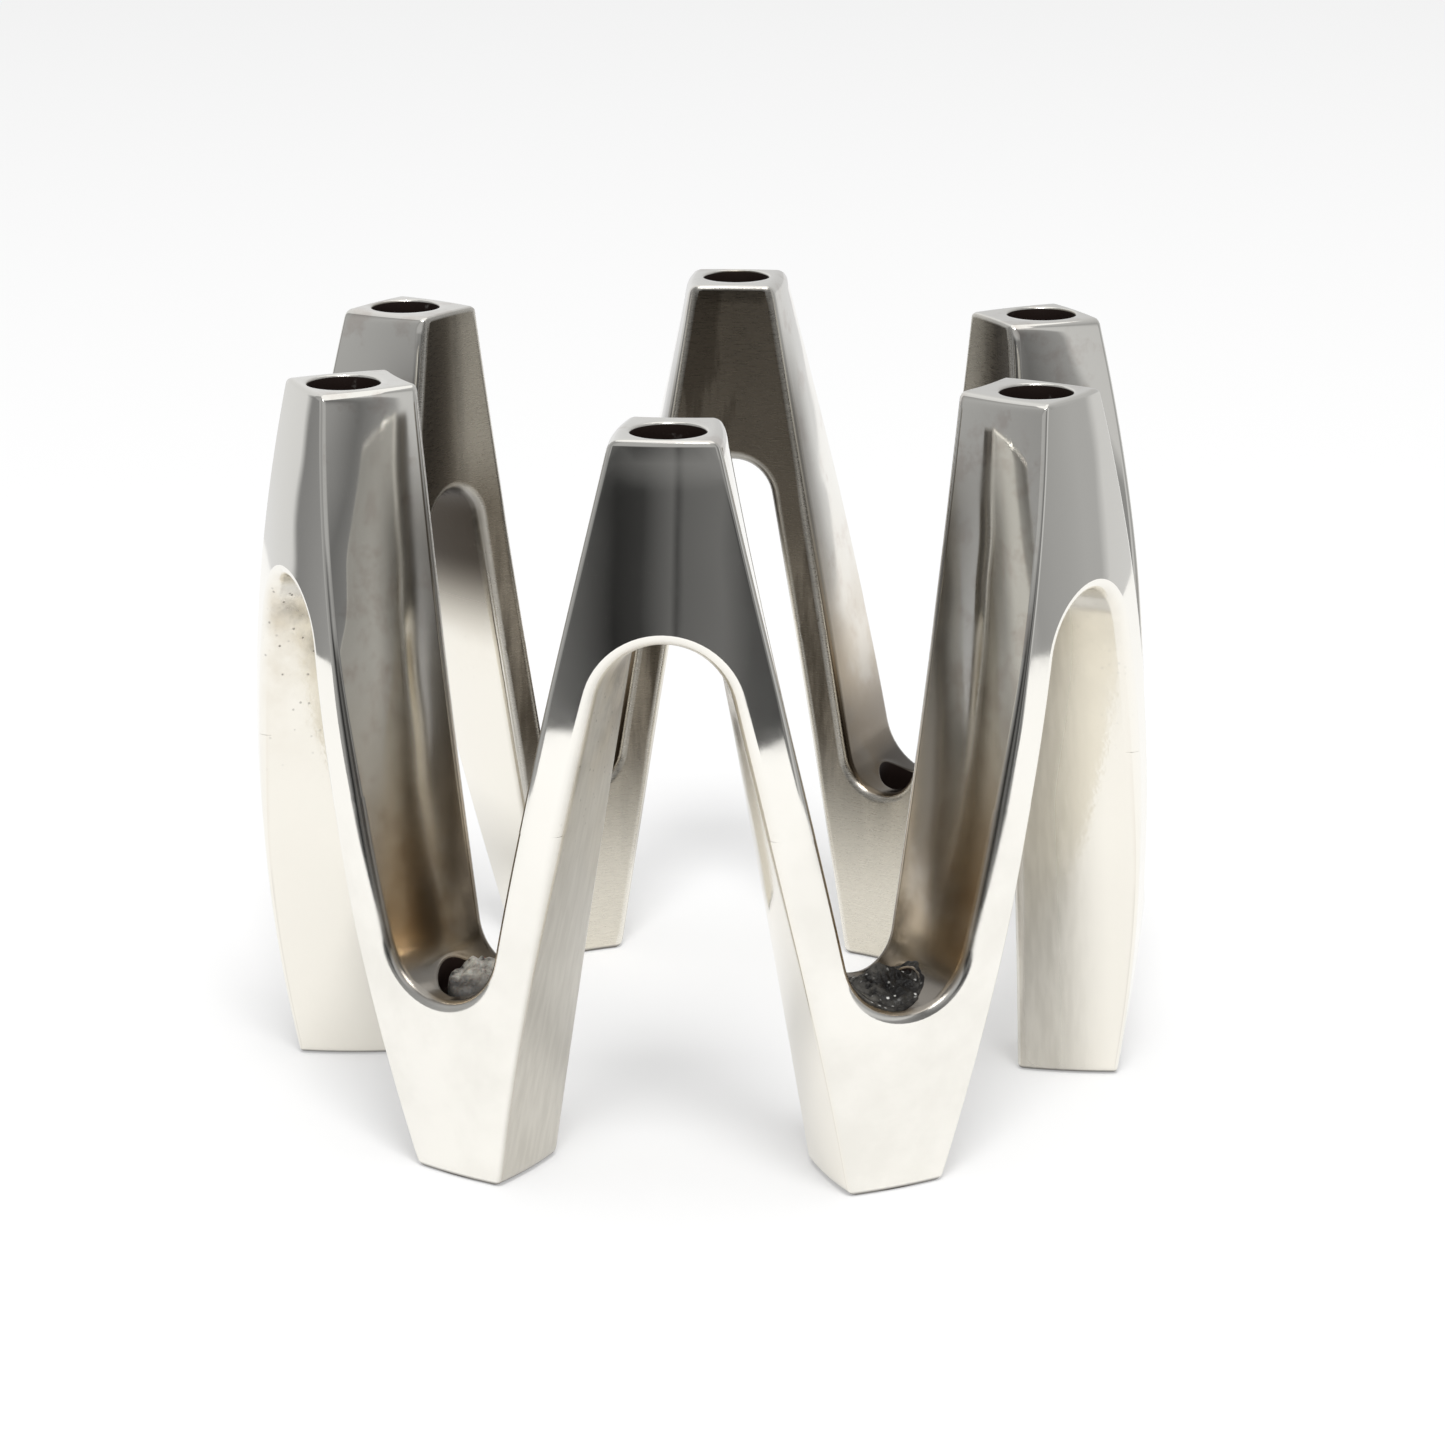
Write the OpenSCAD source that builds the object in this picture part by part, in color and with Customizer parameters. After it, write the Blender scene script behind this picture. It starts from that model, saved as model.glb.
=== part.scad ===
// Crown-shaped candle holder: a zigzag ring of six peaks and six feet in silver-plated castings,
// with a round socket for a thin taper candle in every peak and in the floor of every valley.
// The ring is twelve castings of one U-shaped pattern: six stand as peaks and six hang as feet.
// They meet leg to leg at half height, where a spigot on each peak leg locates in a foot leg.
// The origin is on the table under the ring's centre, +Z is up and the front peak points along -Y.

/* [Ring] */
// Height of the ring from the table to the peak tops, mm
ring_height = 126.4; // [100:0.1:160]
// Radius of the outer wall at half height, where the ring is widest, mm
outer_mid_radius = 77.7; // [68:0.1:90]
// How far the outer wall comes in from half height to the peak tops and the soles, mm
outer_bow = 5.3; // [2:0.1:10]
// Thickness of the wall at the peak tops and the soles, mm
end_thickness = 17.3; // [15.5:0.1:24]

/* [Castings] */
// Width of a peak's top and of a foot's sole, along the outer wall, mm
outer_end_width = 17; // [14.5:0.1:24]
// Width of a peak's top and of a foot's sole, along the inner wall, mm
inner_end_width = 15; // [13.5:0.1:22]
// Width of a leg at half height, along the outer wall, mm
outer_leg_width = 7.4; // [5:0.1:12]
// Width of a leg at half height, along the inner wall, mm
inner_leg_width = 6.8; // [4.6:0.1:10]
// Thickness of the metal under a valley and over an arch, at the outer wall, mm
outer_saddle = 31.6; // [24:0.1:40]
// Thickness of the metal under a valley and over an arch, at the inner wall, mm
inner_saddle = 32.6; // [25:0.1:42]

/* [Sockets] */
// Diameter of the candle sockets, mm
socket_diameter = 12; // [8:0.1:13]
// Depth of the sockets in the peak tops, mm
peak_socket_depth = 20; // [8:0.5:23]
// Depth of the sockets under the valley floors, mm
valley_socket_depth = 18; // [8:0.5:23]
// Distance of the peak sockets' axes from the outer edge of the peak tops, mm
peak_socket_inset = 7.4; // [7:0.1:9]

/* [Leg joints] */
// Diameter of the spigot on each leg of a peak casting, mm
spigot_diameter = 2.6; // [1.6:0.1:3]
// Length of the spigot below the joint, mm
spigot_length = 6; // [3:0.5:12]
// Clearance between a spigot and its hole, all round and at its end, mm
spigot_clearance = 0.05; // [0.02:0.01:0.1]

/* [Candle remains] */
// Diameter of the burnt-down candle end, mm
stub_diameter = 9.6; // [6:0.1:11]
// Height of the candle end over the valley floor, mm
stub_rise = 0.8; // [-4:0.1:20]
// Slope of the candle end's torn top, degrees
stub_slope = 14; // [0:1:30]
// Gap under the loose candle end, mm
stub_gap = 0.3; // [0.2:0.05:0.5]
// Height of the charred wax over the valley floor, mm
crust_rise = 0.8; // [0.2:0.1:3]
// Gap between the charred wax and its socket, mm
crust_gap = 0.1; // [0.05:0.05:0.3]

/* [Hidden] */

// The ring turns by one pitch from peak to peak, and a foot lies half a pitch from each peak
peak_count = 6;
pitch = 360 / peak_count;
half_pitch = pitch / 2;
leg_angle = pitch / 4;
mid_height = ring_height / 2;
outer_end_radius = outer_mid_radius - outer_bow;
inner_radius = outer_end_radius - end_thickness;
mean_mid_radius = (outer_mid_radius + inner_radius) / 2;
socket_radius = socket_diameter / 2;
peak_socket_radius = outer_end_radius - peak_socket_inset;
valley_socket_radius = mean_mid_radius;

// Steps along a straight wall and round an arch
wall_steps = 8;
arch_steps = 24;
// Facets of a round wall, and of the long shallow arc that bows the ring's outer wall
round_facets = 96;
bow_facets = 720;
// How far the cutting wedge passes the walls, as a share of their thickness, and the ends, mm
wedge_reach = 0.4;
end_reach = 2;
// Depth to which a spigot is rooted in its own leg, mm
spigot_root = spigot_diameter;

silver = "gainsboro";
wax_white = "lightgray";
wax_char = "#2a2725";

// Radius of the arc that bows the outer wall over the ring's height
outer_arc = (mid_height * mid_height + outer_bow * outer_bow) / (2 * outer_bow);

// Radius of the outer wall at a height
function outer_radius(z) =
    outer_mid_radius - outer_arc + sqrt(outer_arc * outer_arc - (z - mid_height) * (z - mid_height));

// The edge of a valley, unrolled at the wall's widest radius, is a round floor between two slopes.
// An edge is [widest radius, half angle at half height, slope in mm/mm, arc radius, arc centre height].
function edge(mid_radius, end_radius, leg_width, end_width, saddle) =
    let (
        leg_half = leg_width / 2 / mid_radius * 180 / PI,
        end_half = asin(end_width / 2 / end_radius),
        mid_angle = leg_angle - leg_half,
        slope = (half_pitch - end_half - mid_angle) * PI / 180 * mid_radius / mid_height,
        lean_sine = sin(atan(slope)),
        apex = mid_height - mid_angle * PI / 180 * mid_radius / slope,
        centre = (saddle - apex * lean_sine) / (1 - lean_sine)
    )
    [mid_radius, mid_angle, slope, centre - saddle, centre];

outer_edge = edge(outer_mid_radius, outer_end_radius, outer_leg_width, outer_end_width, outer_saddle);
inner_edge = edge(inner_radius, inner_radius, inner_leg_width, inner_end_width, inner_saddle);

// Turns a length along the unrolled wall into an angle
function unrolled_angle(e, length) = length / e[0] * 180 / PI;

// Angle and height of a point of the slope at a height
function slope_point(e, z) = [e[1] + unrolled_angle(e, e[2] * (z - mid_height)), z];

// Angle and height of a point of the round floor, from -1 through 0 at its lowest to 1
function floor_point(e, share) =
    let (turn = share * (90 - atan(e[2])))
    [unrolled_angle(e, e[3] * sin(turn)), e[4] - e[3] * cos(turn)];

// Height at which the round floor meets the slope
function floor_end(e) = floor_point(e, 1)[1];

// The edge of a valley from half height on one side, round its floor, to half height on the other
function valley_edge(e) = [
    for (i = [0 : wall_steps - 1])
        let (z = mid_height + (floor_end(e) - mid_height) * i / wall_steps, p = slope_point(e, z))
        [-p[0], p[1]],
    for (i = [0 : arch_steps])
        floor_point(e, 2 * i / arch_steps - 1),
    for (i = [wall_steps - 1 : -1 : 0])
        slope_point(e, mid_height + (floor_end(e) - mid_height) * i / wall_steps)
];

// The outline of a casting that stands as a peak, from the middle of one leg over its top to the other
function peak_edge(e) =
    let (top = ring_height + end_reach, top_angle = half_pitch - slope_point(e, top)[0])
    [
        for (i = [0 : wall_steps - 1])
            let (p = slope_point(e, mid_height + (top - mid_height) * i / wall_steps))
            [p[0] - half_pitch, p[1]],
        for (i = [0 : arch_steps])
            [top_angle * (2 * i / arch_steps - 1), top],
        for (i = [wall_steps - 1 : -1 : 0])
            let (p = slope_point(e, mid_height + (top - mid_height) * i / wall_steps))
            [half_pitch - p[0], p[1]]
    ];

// The arch under a peak is a valley upside down
function arch_edge(e) = [for (p = valley_edge(e)) [p[0], ring_height - p[1]]];

// A point of a wall, from its angle off the front and its height
function wall_point(radius, p) = [radius * sin(p[0]), -radius * cos(p[0]), p[1]];
function outer_point(p) = wall_point(outer_radius(p[1]), p);
function inner_point(p) = wall_point(inner_radius, p);

// Moves a point away from another by a share of the distance between them
function past(point, from, share) = point + (point - from) * share;

// The four corners of each cross-section of the wedge: top inside, top outside, arch outside, arch inside
function wedge_rings() =
    let (
        top_out = [for (p = peak_edge(outer_edge)) outer_point(p)],
        top_in = [for (p = peak_edge(inner_edge)) inner_point(p)],
        arch_out = [for (p = arch_edge(outer_edge)) outer_point(p)],
        arch_in = [for (p = arch_edge(inner_edge)) inner_point(p)]
    )
    [for (i = [0 : len(top_out) - 1]) [
        past(top_in[i], top_out[i], wedge_reach),
        past(top_out[i], top_in[i], wedge_reach),
        past(arch_out[i], arch_in[i], wedge_reach),
        past(arch_in[i], arch_out[i], wedge_reach)
    ]];

// A closed solid through a row of four-cornered rings
module loft(rings) {
    sides = 4;
    last = len(rings) - 1;
    points = [for (ring = rings) each ring];
    walls = [
        for (i = [0 : last - 1], k = [0 : sides - 1])
            let (a = i * sides + k, b = i * sides + (k + 1) % sides)
            each [[a, b + sides, b], [a, a + sides, b + sides]]
    ];
    ends = [[0, 1, 2], [0, 2, 3], [for (k = [2, 1, 0]) last * sides + k], [for (k = [3, 2, 0]) last * sides + k]];
    polyhedron(points, concat(walls, ends), convexity = 6);
}

// The ring's whole wall, bowed outside and straight inside, before it is cut into peaks and feet
module bowed_wall() {
    rotate_extrude($fn = round_facets)
        intersection() {
            translate([outer_mid_radius - outer_arc, mid_height])
                circle(r = outer_arc, $fn = bow_facets);
            translate([inner_radius, 0])
                square([outer_mid_radius, ring_height]);
        }
}

// The U-shaped pattern of every casting, standing as a peak at the front
module pattern() {
    intersection() {
        bowed_wall();
        loft(wedge_rings());
    }
}

// How far a leg leans along the ring, at the spigot
spigot_lean = atan((outer_edge[2] / outer_edge[0] + inner_edge[2] / inner_edge[0]) / 2 * mean_mid_radius);

// A pin along a leg, through the joint at half height; side is 1 for the right leg and -1 for the left
module leg_pin(side, lean, radius, above, below) {
    rotate([0, 0, side * leg_angle])
        translate([0, -mean_mid_radius, mid_height])
            rotate([0, 180 - lean, 0])
                translate([0, 0, -above])
                    cylinder(r = radius, h = above + below, $fn = round_facets);
}

// One casting that stands as a peak, counted from the front towards +X
module peak_casting(place) {
    color(silver)
        rotate([0, 0, place * pitch]) {
            difference() {
                pattern();
                translate([0, -peak_socket_radius, ring_height - peak_socket_depth])
                    cylinder(r = socket_radius, h = peak_socket_depth + end_reach, $fn = round_facets);
            }
            for (side = [-1, 1])
                leg_pin(side, side * spigot_lean, spigot_diameter / 2, spigot_root, spigot_length);
        }
}

// Height of a valley socket's bottom
valley_floor = (outer_saddle + inner_saddle) / 2;
valley_socket_bottom = valley_floor - valley_socket_depth;

// Places what belongs to a foot, counted from the front right towards +X
module at_foot(place) {
    rotate([0, 0, (place + 1 / 2) * pitch])
        children();
}

// One casting that hangs as a foot, with a socket in its valley
module foot_casting(place) {
    color(silver)
        at_foot(place)
            difference() {
                translate([0, 0, ring_height])
                    mirror([0, 0, 1])
                        pattern();
                translate([0, -valley_socket_radius, valley_socket_bottom])
                    cylinder(r = socket_radius, h = ring_height, $fn = round_facets);
                for (side = [-1, 1])
                    leg_pin(side, -side * spigot_lean, spigot_diameter / 2 + spigot_clearance,
                            spigot_root, spigot_length + spigot_clearance);
            }
}

// The loose end of a burnt-down candle, with a torn sloping top
module candle_stub() {
    stub_bottom = valley_socket_bottom + stub_gap;
    stub_top = valley_floor + stub_rise;
    color(wax_white)
        at_foot(peak_count - 1)
            translate([0, -valley_socket_radius, 0])
                difference() {
                    translate([0, 0, stub_bottom])
                        cylinder(d = stub_diameter, h = stub_top + stub_diameter - stub_bottom, $fn = round_facets);
                    translate([0, 0, stub_top])
                        rotate([stub_slope, 0, 0])
                            translate([-stub_diameter, -stub_diameter, 0])
                                cube(2 * stub_diameter);
                }
}

// Charred wax that fills a socket to just over its mouth
module wax_residue() {
    crust_bottom = valley_socket_bottom + crust_gap;
    crust_radius = socket_radius - crust_gap;
    dome_radius = (crust_radius * crust_radius + crust_rise * crust_rise) / (2 * crust_rise);
    color(wax_char)
        at_foot(0)
            translate([0, -valley_socket_radius, 0])
                intersection() {
                    translate([0, 0, crust_bottom])
                        cylinder(r = crust_radius, h = valley_socket_depth + crust_rise, $fn = round_facets);
                    translate([0, 0, valley_floor + crust_rise - dome_radius])
                        sphere(r = dome_radius, $fn = round_facets);
                }
}

peak_casting(0);  // peak_front
peak_casting(1);  // peak_front_right
peak_casting(2);  // peak_back_right
peak_casting(3);  // peak_back
peak_casting(4);  // peak_back_left
peak_casting(5);  // peak_front_left
foot_casting(0);  // foot_front_right
foot_casting(1);  // foot_right
foot_casting(2);  // foot_back_right
foot_casting(3);  // foot_back_left
foot_casting(4);  // foot_left
foot_casting(5);  // foot_front_left
candle_stub();
wax_residue();
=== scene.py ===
import logging
import math
from collections.abc import Callable, Iterable
from dataclasses import dataclass, field
from enum import Enum
from typing import ClassVar, NamedTuple

import bmesh
import bpy
from bmesh.types import BMEdge, BMesh, BMFace, BMVert
from bpy.types import Material, Node, NodeSocket, NodeTree, Object
from mathutils import Matrix, Vector, noise
from mathutils.bvhtree import BVHTree


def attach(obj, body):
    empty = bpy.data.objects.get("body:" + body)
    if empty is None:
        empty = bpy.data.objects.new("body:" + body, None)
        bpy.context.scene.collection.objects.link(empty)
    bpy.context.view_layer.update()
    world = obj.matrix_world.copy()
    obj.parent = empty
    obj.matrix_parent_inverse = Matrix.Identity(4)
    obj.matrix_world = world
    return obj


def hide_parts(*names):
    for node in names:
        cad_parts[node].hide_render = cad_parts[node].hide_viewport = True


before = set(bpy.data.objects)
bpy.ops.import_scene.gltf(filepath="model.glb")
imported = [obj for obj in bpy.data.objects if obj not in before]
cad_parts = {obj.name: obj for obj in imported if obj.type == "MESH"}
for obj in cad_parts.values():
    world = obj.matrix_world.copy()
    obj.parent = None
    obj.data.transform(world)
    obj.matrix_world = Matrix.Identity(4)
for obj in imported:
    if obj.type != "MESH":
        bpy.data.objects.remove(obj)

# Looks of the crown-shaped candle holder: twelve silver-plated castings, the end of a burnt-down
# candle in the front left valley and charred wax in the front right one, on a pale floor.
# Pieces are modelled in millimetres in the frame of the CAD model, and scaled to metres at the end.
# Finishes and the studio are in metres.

LOG = logging.getLogger("candle_holder")
METRES = 0.001
PEAK_PLACES = ("front", "front_right", "back_right", "back", "back_left", "front_left")
FOOT_PLACES = ("front_right", "right", "back_right", "back_left", "left", "front_left")
PITCH = math.radians(60)
DOWN = Vector((0, 0, -1))
# In millimetres: points this close touch, doubles this close are merged, a cut snaps to points this close
TOUCH, WELD, SNAP = 0.01, 1e-3, 1e-4
# Least share of an axis in the normal of a face that lies across it, and most for a face along it
ACROSS, ALONG = 0.9999, 0.01
Triple = tuple[float, float, float]
Colour = tuple[float, float, float, float]


class Casting(Enum):
    """How a casting of the one U-shaped pattern stands in the ring."""

    PEAK = "peak"
    FOOT = "foot"


class Slot(Enum):
    """Material slots of the record."""

    SILVER = "silver_plate"
    WAX = "candle_wax"
    CHAR = "charred_wax"


class Wave(NamedTuple):
    """One layer of noise over a plane: waves per millimetre, pattern, and height in millimetres."""

    scale: float
    pattern: float
    height: float


def ripples(co: Vector, waves: tuple[Wave, ...]) -> float:
    """Height of several layers of noise at a point."""
    return sum(noise.noise(Vector((co.x * w.scale, co.y * w.scale, w.pattern))) * w.height for w in waves)


def smooth_share(value: float, low: float, high: float) -> float:
    """Share of the way from low to high, eased at both ends.

    Args:
        value: The number to place.
        low: Where the share is 0.
        high: Where the share is 1.

    Returns:
        A number from 0 to 1.
    """
    t = min(1.0, max(0.0, (value - low) / (high - low)))
    return t * t * (3 - 2 * t)


def sort_parts(bm: BMesh) -> None:
    """Sorts a mesh's parts by place, because some operators leave them in another order each run.

    Args:
        bm: The mesh.
    """
    def place(co: Vector) -> float:
        """A number that puts x before y and y before z."""
        return co.x * 1e6 + co.y * 1e3 + co.z

    bm.verts.sort(key=lambda v: place(v.co))
    bm.edges.sort(key=lambda e: place(e.verts[0].co + e.verts[1].co))
    bm.faces.sort(key=lambda f: place(f.calc_center_median()))


@dataclass(frozen=True)
class WallEdge:
    """Edge of the valleys on one wall, unrolled at that wall's widest radius, in millimetres.

    An edge is a round floor between two straight slopes. The arch under a peak is a valley upside down.
    """

    radius: float
    end_radius: float
    leg_width: float
    end_width: float
    saddle: float
    mid: float = 63.2

    @property
    def mid_half(self) -> float:
        """Half width of a valley at half height."""
        return PITCH / 4 * self.radius - self.leg_width / 2

    @property
    def slope(self) -> float:
        """How far an edge leans along the ring for each millimetre of height."""
        end_half = math.asin(self.end_width / 2 / self.end_radius) * self.radius
        return (PITCH / 2 * self.radius - end_half - self.mid_half) / self.mid

    @property
    def lean(self) -> float:
        """Lean of an edge from the upright, in radians."""
        return math.atan(self.slope)

    @property
    def floor_centre(self) -> float:
        """Height of the centre of a valley's round floor."""
        apex = self.mid - self.mid_half / self.slope
        return (self.saddle - apex * math.sin(self.lean)) / (1 - math.sin(self.lean))

    @property
    def floor_radius(self) -> float:
        """Radius of a valley's round floor."""
        return self.floor_centre - self.saddle

    def slope_half(self, z: float) -> float:
        """Half width of a valley between its straight edges at a height."""
        return self.mid_half + self.slope * (z - self.mid)

    def valley_half(self, z: float) -> float:
        """Half width of a valley at a height, 0 under its floor.

        Args:
            z: A height on the ring.

        Returns:
            The half width in millimetres.
        """
        if z <= self.saddle:
            return 0.0
        drop = self.floor_centre - z
        if drop <= self.floor_radius * math.sin(self.lean):
            return self.slope_half(z)
        return math.sqrt(max(0.0, self.floor_radius ** 2 - drop ** 2))

    def angles(self, z: float, peak_z: float) -> tuple[float, float]:
        """Half angle of the arch under a peak, and angle of the peak's flank from its middle.

        Args:
            z: A height on the ring.
            peak_z: The height of the peak tops.

        Returns:
            Both angles in radians.
        """
        return self.valley_half(peak_z - z) / self.radius, PITCH / 2 - self.slope_half(z) / self.radius


@dataclass(frozen=True)
class CrownOutline:
    """The ring: a wall bowed outside and straight inside, cut to a zigzag, in millimetres."""

    height: float = 126.4
    bow: float = 5.3
    outer: WallEdge = WallEdge(radius=77.7, end_radius=72.4, leg_width=7.4, end_width=17.0, saddle=31.6)
    inner: WallEdge = WallEdge(radius=55.1, end_radius=55.1, leg_width=6.8, end_width=15.0, saddle=32.6)

    @property
    def mid(self) -> float:
        """Half the ring's height, where the legs of the castings meet."""
        return self.height / 2

    def outer_radius(self, z: float) -> float:
        """Radius of the outer wall at a height."""
        arc = (self.mid ** 2 + self.bow ** 2) / (2 * self.bow)
        return self.outer.radius - arc + math.sqrt(arc ** 2 - (z - self.mid) ** 2)


@dataclass(frozen=True)
class Rounding:
    """Radii of a casting's rounded edges, outside and inside, in millimetres."""

    top: tuple[float, float] = (0.8, 0.9)
    corner: float = 1.7
    notch_top: tuple[float, float] = (0.75, 1.9)
    lip: tuple[float, float] = (1.75, 1.9)
    taper: float = 24.0
    widest: float = 2.5
    steps: int = 4


@dataclass
class CastingPattern:
    """The U-shaped pattern of every casting: a flat plate with rounded edges, wrapped round the ring."""

    outline: CrownOutline = field(default_factory=CrownOutline)
    rounding: Rounding = field(default_factory=Rounding)
    thickness: float = 20.0
    leg_spare: float = 4.0
    bulge: float = 0.6
    bulge_fade: float = 8.0
    tilt_spread: float = 12.0
    arch_steps: int = 28
    notch_cuts: int = 24
    leg_cuts: int = 10
    top_cuts: int = 6
    sheet_step: float = 2.4
    first_row: float = 0.9
    joint_cuts: tuple[float, ...] = (0.0, 0.35, 1.0)
    support: float = 0.12
    least_area: float = 0.5
    block_depths: tuple[float, float] = (2.2, 16.8)
    block_steps: int = 10
    block_half: float = 8.7

    @property
    def leg_end(self) -> float:
        """Height at which the plate's legs end, under the joints of the castings."""
        return self.outline.mid - self.leg_spare

    def plate(self) -> BMesh:
        """The flat plate with sharp edges: x along the ring, y from the outer wall inwards, z up.

        Returns:
            The plate, standing as a peak, with its legs longer than the casting's.
        """
        edge, height, low = self.outline.outer, self.outline.height, self.leg_end
        bm = bmesh.new()
        arch_low = bm.verts.new((edge.slope_half(height - low), 0, low))
        spring = bm.verts.new((
            edge.floor_radius * math.cos(edge.lean), 0,
            height - edge.floor_centre + edge.floor_radius * math.sin(edge.lean)))
        first_leg = bm.edges.new((arch_low, spring))
        arch = bmesh.ops.spin(
            bm, geom=[spring], cent=(0, 0, height - edge.floor_centre), axis=(0, -1, 0),
            angle=math.pi - 2 * edge.lean, steps=self.arch_steps, use_duplicate=False)
        far_spring = next(g for g in arch["geom_last"] if isinstance(g, BMVert))
        far_low = bm.verts.new((-arch_low.co.x, 0, low))
        last_leg = bm.edges.new((far_spring, far_low))
        span = PITCH / 2 * edge.radius
        outer = [bm.verts.new((x, 0, z)) for x, z in (
            (span - edge.slope_half(low), low), (span - edge.slope_half(height), height),
            (edge.slope_half(height) - span, height), (edge.slope_half(low) - span, low))]
        notches = [bm.edges.new((outer[0], outer[1])), bm.edges.new((outer[2], outer[3]))]
        top = bm.edges.new((outer[1], outer[2]))
        bm.edges.new((arch_low, outer[0]))
        bm.edges.new((far_low, outer[3]))
        bmesh.ops.subdivide_edges(bm, edges=[first_leg, last_leg], cuts=self.leg_cuts)
        bmesh.ops.subdivide_edges(bm, edges=notches, cuts=self.notch_cuts)
        bmesh.ops.subdivide_edges(bm, edges=[top], cuts=self.top_cuts)
        sheet = bmesh.ops.edgeloop_fill(bm, edges=bm.edges[:])["faces"]
        back = bmesh.ops.extrude_face_region(bm, geom=sheet)["geom"]
        bmesh.ops.translate(bm, verts=[g for g in back if isinstance(g, BMVert)], vec=(0, self.thickness, 0))
        bmesh.ops.recalc_face_normals(bm, faces=bm.faces[:])
        return bm

    def edge_radius(self, edge: BMEdge) -> float:
        """Radius by which an edge of the plate is rounded.

        Args:
            edge: An edge of the flat plate.

        Returns:
            The radius, 0 for an edge that stays as it is.
        """
        o, line, r = self.outline, self.outline.outer, self.rounding
        a, b = (v.co for v in edge.verts)
        z = (a.z + b.z) / 2
        at_top = min(a.z, b.z) > o.height - TOUCH
        if abs(a.y - b.y) > TOUCH:
            corner = PITCH / 2 * line.radius - line.slope_half(o.height)
            return r.corner if at_top and abs(abs(a.x) - corner) < TOUCH else 0.0
        if max(a.z, b.z) < self.leg_end + TOUCH:
            return 0.0
        side = 0 if a.y < TOUCH else 1
        if at_top:
            return r.top[side]
        arch, flank = (angle * line.radius for angle in line.angles(z, o.height))
        along = abs(a.x + b.x) / 2
        if abs(along - arch) < abs(along - flank):
            return r.lip[side]
        return r.lip[side] + (r.notch_top[side] - r.lip[side]) * smooth_share(z, o.mid, o.mid + r.taper)

    def rounded(self, bm: BMesh) -> BMesh:
        """Rounds the plate's edges, each by its own radius.

        Args:
            bm: The plate with sharp edges, which is freed.

        Returns:
            The rounded plate.
        """
        weight = bm.edges.layers.float.new("bevel_weight_edge")
        for edge in bm.edges:
            edge[weight] = self.edge_radius(edge) / self.rounding.widest
        sort_parts(bm)
        mesh = bpy.data.meshes.new("plate")
        bm.to_mesh(mesh)
        bm.free()
        # The bevel depends on which way the edges run, so they run the same way each time
        for edge in mesh.edges:
            edge.vertices = sorted(edge.vertices)
        plate = bpy.data.objects.new("plate", mesh)
        bpy.context.scene.collection.objects.link(plate)
        bevel = plate.modifiers.new("rounding", "BEVEL")
        bevel.limit_method = "WEIGHT"
        bevel.width = self.rounding.widest
        bevel.segments = self.rounding.steps
        bevel.profile = 0.5
        bevel.use_clamp_overlap = False
        result = bmesh.new()
        result.from_object(plate, bpy.context.evaluated_depsgraph_get())
        bpy.data.objects.remove(plate)
        bpy.data.meshes.remove(mesh)
        return result

    @staticmethod
    def sheets(bm: BMesh) -> list[BMFace]:
        """The two broad faces of the plate."""
        return [f for f in bm.faces if abs(f.normal.y) > ACROSS]

    def inner_sheets(self, bm: BMesh) -> list[BMFace]:
        """The broad faces of the plate without the thin loop that holds their rim."""
        return [f for f in self.sheets(bm) if f.calc_area() > self.least_area]

    @staticmethod
    def cut(bm: BMesh, faces: list[BMFace], at: Triple, across: Triple) -> None:
        """Cuts faces along a plane, so that the plate can bend there.

        Args:
            bm: The plate.
            faces: The faces to cut.
            at: A point of the plane.
            across: The plane's normal.
        """
        parts = dict.fromkeys(part for f in faces for part in (*f.edges, *f.verts))
        bmesh.ops.bisect_plane(bm, geom=[*faces, *parts], dist=SNAP, plane_co=at, plane_no=across)

    def build(self) -> BMesh:
        """The rounded plate, cut finely enough to be wrapped.

        Returns:
            The plate in flat coordinates.
        """
        o = self.outline
        bm = self.rounded(self.plate())
        bm.normal_update()
        for sheet in self.sheets(bm):
            bmesh.ops.inset_region(bm, faces=[sheet], thickness=self.support, use_even_offset=True)
        bm.normal_update()
        foot_z = self.leg_end + TOUCH
        band = [f for f in bm.faces if abs(f.normal.y) < ALONG and max(v.co.z for v in f.verts) > foot_z
                and max(v.co.y for v in f.verts) - min(v.co.y for v in f.verts) > self.thickness / 2]
        bmesh.ops.inset_region(bm, faces=band, thickness=self.support, use_even_offset=True)
        bm.normal_update()
        first, last = self.block_depths
        for i in range(self.block_steps + 1):
            depth = first + (last - first) * i / self.block_steps
            self.cut(bm, bm.faces[:], (0, depth, 0), (0, 1, 0))
        columns = int(PITCH / 2 * o.outer.radius / self.sheet_step)
        for i in range(-columns, columns + 1):
            self.cut(bm, self.inner_sheets(bm), (i * self.sheet_step, 0, 0), (1, 0, 0))
        for i in range(int(o.mid / self.sheet_step)):
            z = o.mid + (i + self.first_row) * self.sheet_step
            self.cut(bm, self.inner_sheets(bm), (0, 0, z), (0, 0, 1))
        for lift in self.joint_cuts:
            self.cut(bm, bm.faces[:], (0, 0, o.mid + lift), (0, 0, 1))
        bm.normal_update()
        return bm

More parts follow.
